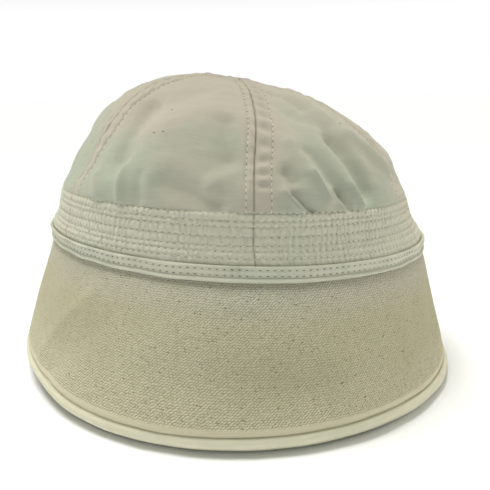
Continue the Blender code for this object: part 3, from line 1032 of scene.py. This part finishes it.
def makeHem():
    form = hemForm
    middle = form["proud"] - 0.5 * form["thickness"]
    half = 0.5 * capForm["hemHeight"]
    step = 360.0 / form["sides"]
    angles = np.radians((np.arange(form["sides"]) + 0.5) * step - 90.0)
    across = np.sign(np.cos(angles)) * np.abs(np.cos(angles)) ** form["squareness"]
    upward = np.clip(np.sin(angles) / math.cos(math.radians(0.5 * step)), -1.0, 1.0)
    level, turn = np.meshgrid(half * (1.0 + upward), ringTurns(form["columns"]), indexing="ij")
    point, way = edgeAt(level, turn)
    # Its sewn top is drawn into small ripples
    phase = 2 * math.pi * np.radians(turn) * form["uvRadius"] / form["drawnPitch"]
    phase = phase + slackOf(point, form["drawnWander"])
    drawn = form["drawn"] * np.sin(phase) * (0.5 + 0.5 * upward)[:, None]
    stand = middle + 0.5 * form["thickness"] * across[:, None]
    stand = stand + (slackOf(point, form["slack"]) + drawn) * (across[:, None] > 0)
    grid = point + way * stand[..., None]
    grid[..., 2] = np.maximum(grid[..., 2], 0.0)
    sectionV = np.arange(form["sides"] + 1) * form["uvStep"]
    # Painted shade: darker in the groove along the hem's top, and darker and darker down its lower half,
    # the underside turned from the light above
    run = form["topPaintedShadeRun"]
    hemPaintedShade = form["topPaintedShade"] * smoothStep((upward - 1.0 + run) / run)
    hemPaintedShade = hemPaintedShade + form["footPaintedShade"] * smoothStep(-upward)
    paintedShade = np.repeat(hemPaintedShade[:, None], form["columns"], axis=1)
    uvU = ringUv(form["columns"], form["uvRadius"])
    piece = loft("rolledHem", grid, uvU, sectionV, hemPoplin, True, True, {"paintedShade": paintedShade})
    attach(piece, "root")
    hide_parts("brim_hem")


# Stitches
stitchForm = {
    "pitch": 2.8,
    "length": 2.0,
    "width": 0.42,
    "rise": 0.36,
    "lift": 0.06,
    "probe": 0.4,
    "sway": ((0.18, 23.0, 5.0), (0.1, 7.0, 9.0)),  # depth, length and start of each wave in a row
    "bandHole": (0.44, 0.34),  # length and width
    "seamHole": (0.5, 0.44),
    "tapeHole": (0.8, 0.52),
    "jitter": 0.18,
    "seed": 7,
    "seamFrom": 1.0,
    "seamShorter": 13.0,
    "narrowest": 6.0,
}


def stitchTree():
    # A bead on each point, drawn out along the row and standing out of the cloth
    tree = bpy.data.node_groups.new("stitchOnPoint", "GeometryNodeTree")
    add = partial(addNode, tree)
    tree.interface.new_socket("Geometry", in_out="OUTPUT", socket_type="NodeSocketGeometry")
    sizes = dict.fromkeys(("Stitch Length", "Stitch Width", "Stitch Rise", "Length Jitter"), "Float")
    sockets = {"Geometry": "Geometry", **sizes, "Seed": "Int", "Thread": "Material"}
    for name, kind in sockets.items():
        tree.interface.new_socket(name, in_out="INPUT", socket_type="NodeSocket" + kind)
    start = add("NodeGroupInput").node.outputs
    points = add("GeometryNodeMeshToPoints", {"Mesh": start["Geometry"]})
    bead = add("GeometryNodeMeshUVSphere", {"Segments": 6, "Rings": 4, "Radius": 0.5})
    along, out = (
        add("GeometryNodeInputNamedAttribute", {"Name": name}, data_type="FLOAT_VECTOR")
        for name in ("along", "out")
    )
    align = "FunctionNodeAlignRotationToVector"
    turned = add(align, {"Vector": along}, axis="X")
    turned = add(align, {"Rotation": turned, "Vector": out}, axis="Z", pivot_axis="X")
    chance = add("FunctionNodeRandomValue", data_type="FLOAT").node
    shortest = add("SUBTRACT", (1.0, start["Length Jitter"]))
    longest = add("ADD", (1.0, start["Length Jitter"]))
    for key, value in (("Min", shortest), ("Max", longest), ("Seed", start["Seed"])):
        socket = next(s for s in chance.inputs if s.name == key and s.enabled)
        tree.links.new(value, socket)
    chosen = next(s for s in chance.outputs if s.enabled)
    length = add("MULTIPLY", (start["Stitch Length"], chosen))
    size = add("CombineXYZ", (length, start["Stitch Width"], start["Stitch Rise"]))
    placed = add("GeometryNodeInstanceOnPoints", {
        "Points": points, "Instance": bead, "Rotation": turned, "Scale": size,
    })
    real = add("GeometryNodeRealizeInstances", (placed,))
    smooth = add("GeometryNodeSetShadeSmooth", (real,))
    dressed = add("GeometryNodeSetMaterial", {"Geometry": smooth, "Material": start["Thread"]})
    add("NodeGroupOutput", (dressed,))
    return tree


beadTree = stitchTree()


def plainMesh(source):
    # A plain mesh of what the object shows, which then goes
    mesh = bpy.data.meshes.new_from_object(source.evaluated_get(bpy.context.evaluated_depsgraph_get()))
    source.modifiers.clear()
    bpy.data.objects.remove(source)
    return mesh


def beadsOn(name, points, along, out, sizes, jitter, seed, material, slot):
    # The tree puts one bead on each point; sizes are its length, width and rise
    mesh = bpy.data.meshes.new(name + "Points")
    mesh.from_pydata((points * mm).tolist(), [], [])
    for key, vectors in (("along", along), ("out", out)):
        attribute = mesh.attributes.new(key, "FLOAT_VECTOR", "POINT")
        attribute.data.foreach_set("vector", vectors.ravel())
    source = addObject(name + "Points", mesh)
    modifier = source.modifiers.new("stitches", "NODES")
    modifier.node_group = beadTree
    length, width, rise = (size * mm for size in sizes)
    settings = {
        "Stitch Length": length,
        "Stitch Width": width,
        "Stitch Rise": rise,
        "Length Jitter": jitter,
        "Seed": seed,
        "Thread": material,
    }
    for item in beadTree.interface.items_tree:
        if item.in_out == "INPUT" and item.name in settings:
            modifier[item.identifier] = settings[item.name]
    piece = addPiece(name, plainMesh(source))
    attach(piece, "root")


def crownSurface(up, turn):
    station, point, way = clothAt(up, turn)
    return point + way * crownRelief(station, turn, point)[..., None], way


# Each row of stitches has a length, a place that turns a length along it into up and turn, and a surface
def bandRow(up):
    radius = float(radiusAt(stationAtUp(up)))

    def place(length):
        waves = stitchForm["sway"]
        sway = sum(depth * np.sin(length / run + up * start) for depth, run, start in waves)
        return up + sway, capForm["frontSeam"] + np.degrees(length / radius)

    return 2 * math.pi * radius, place, crownSurface


def seamRow(seamTurn, distance):
    def place(length):
        up = stitchForm["seamFrom"] + length
        radius = np.maximum(radiusAt(stationAtUp(up)), stitchForm["narrowest"])
        return up, seamTurn + np.degrees(distance / radius)

    return apexUp - stitchForm["seamShorter"], place, crownSurface


def tapeRow(share):
    level = tapeFootLevel + share * capForm["tapeHeight"]
    proud = tapeForm["proud"] - tapeForm["stitchDepth"]

    def surface(up, turn):
        point, way = edgeAt(np.full(np.shape(turn), level), turn)
        point = point + way * (proud + slackOf(point, tapeForm["slack"]))[..., None]
        point[..., 2] += slackOf(point, tapeForm["sway"])
        return point, way

    def place(length):
        turn = capForm["frontSeam"] + np.degrees(length / capForm["bandRadius"])
        return np.zeros(np.shape(length)), turn

    return 2 * math.pi * capForm["bandRadius"], place, surface


def sew(name, rows, slot, holeLength, holeWidth):
    # Stitches lie between needle holes, half a pitch apart
    form = stitchForm
    stitchSizes = (form["length"], form["width"], form["rise"])
    holeSizes = (holeLength, holeWidth, 0.5 * holeWidth)
    for suffix, shift, sizes, material in (
        ("Stitches", 0.0, stitchSizes, sewingThread),
        ("NeedleHoles", 0.5, holeSizes, holeShade),
    ):
        found = []
        for rowLength, place, surface in rows:
            lengths = (np.arange(int(rowLength / form["pitch"])) + shift) * form["pitch"]
            before, middle, after = (
                surface(*place(lengths + step)) for step in (-form["probe"], 0.0, form["probe"])
            )
            found.append((middle[0] + middle[1] * form["lift"], unit(after[0] - before[0]), middle[1]))
        points, along, out = (np.concatenate(part) for part in zip(*found))
        beadsOn(name + suffix, points, along, out, sizes, form["jitter"], form["seed"], material, slot)


for index in range(capForm["goreCount"]):
    makeGore(index)
print("crown made")
makeHeadband()
makeTape()
print("band made")
makeBrim()
makeHem()
print("brim and hem made")
seamTurns = capForm["frontSeam"] + np.arange(capForm["goreCount"]) * 360.0 / capForm["goreCount"]
seamRows = [seamRow(turn, seamWork[side]) for turn in seamTurns for side in ("rowLeft", "rowRight")]
tapeRows = [tapeRow(share) for share in tapeForm["stitchRows"]]
sew("band", [bandRow(up) for up in quilting["rows"]], "crown_cotton", *stitchForm["bandHole"])
sew("seam", seamRows, "crown_cotton", *stitchForm["seamHole"])
sew("tape", tapeRows, "tape_cotton", *stitchForm["tapeHole"])
print("stitches sewn")


# Marks: specks are turn and up, and the loose end is turn, up and height over the cloth
marks = {
    "specks": (
        (-28, 29.8), (-25, 30.5), (-28.5, 44.0), (42.5, 47.6), (-44, -12.1),
        (-59, -60.6), (13, -46.7), (39, -57.9), (152, 22.0), (-133, -55.0),
    ),
    "speckSizes": (1.1, 0.7, 0.25),
    "speckJitter": 0.35,
    "speckSeed": 3,
    "speckGrain": (0.3, 0.2, 1.0),
    "looseEnd": ((-74.5, -15.2, 0.1), (-75.5, -14.6, 1.0), (-77.0, -14.6, 1.9), (-78.0, -15.6, 2.6)),
    "looseThick": 0.35,
}


def clothSurface(up, turn):
    station, point, way = clothAt(up, turn)
    onCrown = up > float(upAtStation(stationAtLevel(tapeTopLevel)))
    relief = np.where(onCrown, crownRelief(station, turn, point), brimRelief(up, station, turn, point))
    return point + way * relief[..., None], way


def makeSpecks():
    turn, up = (np.array(column, dtype=float) for column in zip(*marks["specks"]))
    point, way = clothSurface(up, turn)
    along = unit(np.cross(way, marks["speckGrain"]))
    chances = marks["speckJitter"], marks["speckSeed"]
    beadsOn("specks", point, along, way, marks["speckSizes"], *chances, speckDirt, "crown_cotton")


def makeLooseEnd():
    # A cut end of thread that stands out of the band on the left
    turn, up, lift = (np.array(column, dtype=float) for column in zip(*marks["looseEnd"]))
    point, way = clothSurface(up, turn)
    path = (point + way * lift[:, None]) * mm
    curve = bpy.data.curves.new("looseThread", "CURVE")
    curve.dimensions = "3D"
    curve.bevel_depth = 0.5 * marks["looseThick"] * mm
    curve.bevel_resolution = 1
    curve.use_fill_caps = True
    spline = curve.splines.new("NURBS")
    spline.points.add(len(path) - 1)
    for target, place in zip(spline.points, path):
        target.co = (*place, 1.0)
    spline.use_endpoint_u = True
    mesh = plainMesh(addObject("looseThreadPath", curve))
    mesh.materials.clear()
    mesh.materials.append(sewingThread)
    mesh.shade_smooth()
    piece = addPiece("looseThread", mesh)
    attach(piece, "root")


makeSpecks()
makeLooseEnd()
print("marks made")

# The cap is modelled on its own axis, and then moved to where the CAD solids stand
hemPoints = np.array([tuple(v.co) for v in bpy.data.objects["rolledHem"].data.vertices])
hemMiddle = 0.5 * (hemPoints.min(axis=0) + hemPoints.max(axis=0))
cadLow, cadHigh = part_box("brim_hem")
cadMiddle = 0.5 * (np.array(cadLow) + np.array(cadHigh))
axisPlace = Vector((*(cadMiddle - hemMiddle)[:2], 0.0))
for piece in madePieces:
    piece.data.transform(Matrix.Translation(axisPlace))
print("axis at", [round(value / mm, 2) for value in axisPlace])


# Floor and light, in metres
studio = {
    "floorSize": 6.0,
    "roomBright": "FFFFFF",
    "roomDim": "8C998B",
    "roomEdges": (0.3, 0.1),
    "skyPower": 2.7,
    "skySoftness": 30.0,
    "skyColour": "FFFBF4",
    "skyWay": (0.24, -0.12, -1.0),
    "boxSize": (0.3, 0.5),
    "boxColour": "FFF1E4",
    "boxTarget": (0.0, 0.0, 0.08),
    "leftBox": ((-0.8, 0.05, 0.3), 0.8),
    "rightBox": ((0.8, 0.05, 0.35), 1.78),
}


def makeFloor():
    size = studio["floorSize"]
    mesh = bpy.data.meshes.new("paleFloor")
    corners = [(-size, -size, 0.0), (size, -size, 0.0), (size, size, 0.0), (-size, size, 0.0)]
    mesh.from_pydata(corners, [], [(0, 1, 2, 3)])
    mesh.materials.append(makeSpeckled("matt_white_paper", paperLook))
    floor = addObject("paleFloor", mesh)


def addLamp(name, kind, colour, power, way, place=(0.0, 0.0, 0.0)):
    light = bpy.data.lights.new(name, kind)
    light.energy = power
    light.color = linearColour(colour)[:3]
    lamp = addObject(name, light)
    lamp.location = place
    lamp.rotation_euler = Vector(way).to_track_quat("-Z", "Y").to_euler()
    return light


def makeLight():
    world = bpy.data.worlds.new("softRoom")
    bpy.context.scene.world = world
    world.use_nodes = True
    world.node_tree.nodes.clear()
    add = partial(addNode, world.node_tree)
    # White paper stands all round at the height of the floor, under the dimmer ceiling of the room
    rise = add("SeparateXYZ", (add("TexCoord", output="Generated"),), "Z")
    share = add("MapRange", (rise, *studio["roomEdges"]))
    tones = {0: share, 6: linearColour(studio["roomDim"]), 7: linearColour(studio["roomBright"])}
    colour = add("Mix", tones, 2, data_type="RGBA")
    background = add("Background", {"Color": colour, "Strength": 1.0})
    add("OutputWorld", {"Surface": background})
    for name in ("leftBox", "rightBox"):
        place, power = studio[name]
        way = Vector(studio["boxTarget"]) - Vector(place)
        light = addLamp(name, "AREA", studio["boxColour"], power, way, place)
        light.shape = "RECTANGLE"
        light.size, light.size_y = studio["boxSize"]
    # A wide, even light from above keeps the whole floor as white as the paper
    light = addLamp("overhead", "SUN", studio["skyColour"], studio["skyPower"], studio["skyWay"])
    light.angle = math.radians(studio["skySoftness"])


# Camera, placed by fitting the cap's outline, seams and tape in the photograph
cameraForm = {
    "lens": 50.0,
    "sensor": 36.0,
    "distance": 341.9,
    "height": 134.5,
    "pitch": 0.2168,
    "roll": 0.0202,
    "shiftX": 0.0460,
    "shiftY": -0.0226,
    "nearest": 10.0,
}


def makeCamera():
    form = cameraForm
    data = bpy.data.cameras.new("photoCamera")
    data.lens = form["lens"]
    data.sensor_width = form["sensor"]
    data.shift_x = form["shiftX"]
    data.shift_y = form["shiftY"]
    data.clip_start = form["nearest"] * mm
    camera = addObject("photoCamera", data)
    pitch, roll = form["pitch"], form["roll"]
    right = Vector((1.0, 0.0, 0.0))
    upright = Vector((0.0, math.sin(pitch), math.cos(pitch)))
    forward = Vector((0.0, math.cos(pitch), -math.sin(pitch)))
    imageRight = right * math.cos(roll) - upright * math.sin(roll)
    imageUp = upright * math.cos(roll) + right * math.sin(roll)
    turned = Matrix((imageRight, imageUp, -forward)).transposed().to_4x4()
    place = Vector((0.0, -form["distance"] * mm, form["height"] * mm)) + axisPlace
    camera.matrix_world = Matrix.Translation(place) @ turned
    bpy.context.scene.camera = camera


makeFloor()
makeLight()
makeCamera()
bpy.context.scene.view_settings.view_transform = "Standard"
print("studio set")
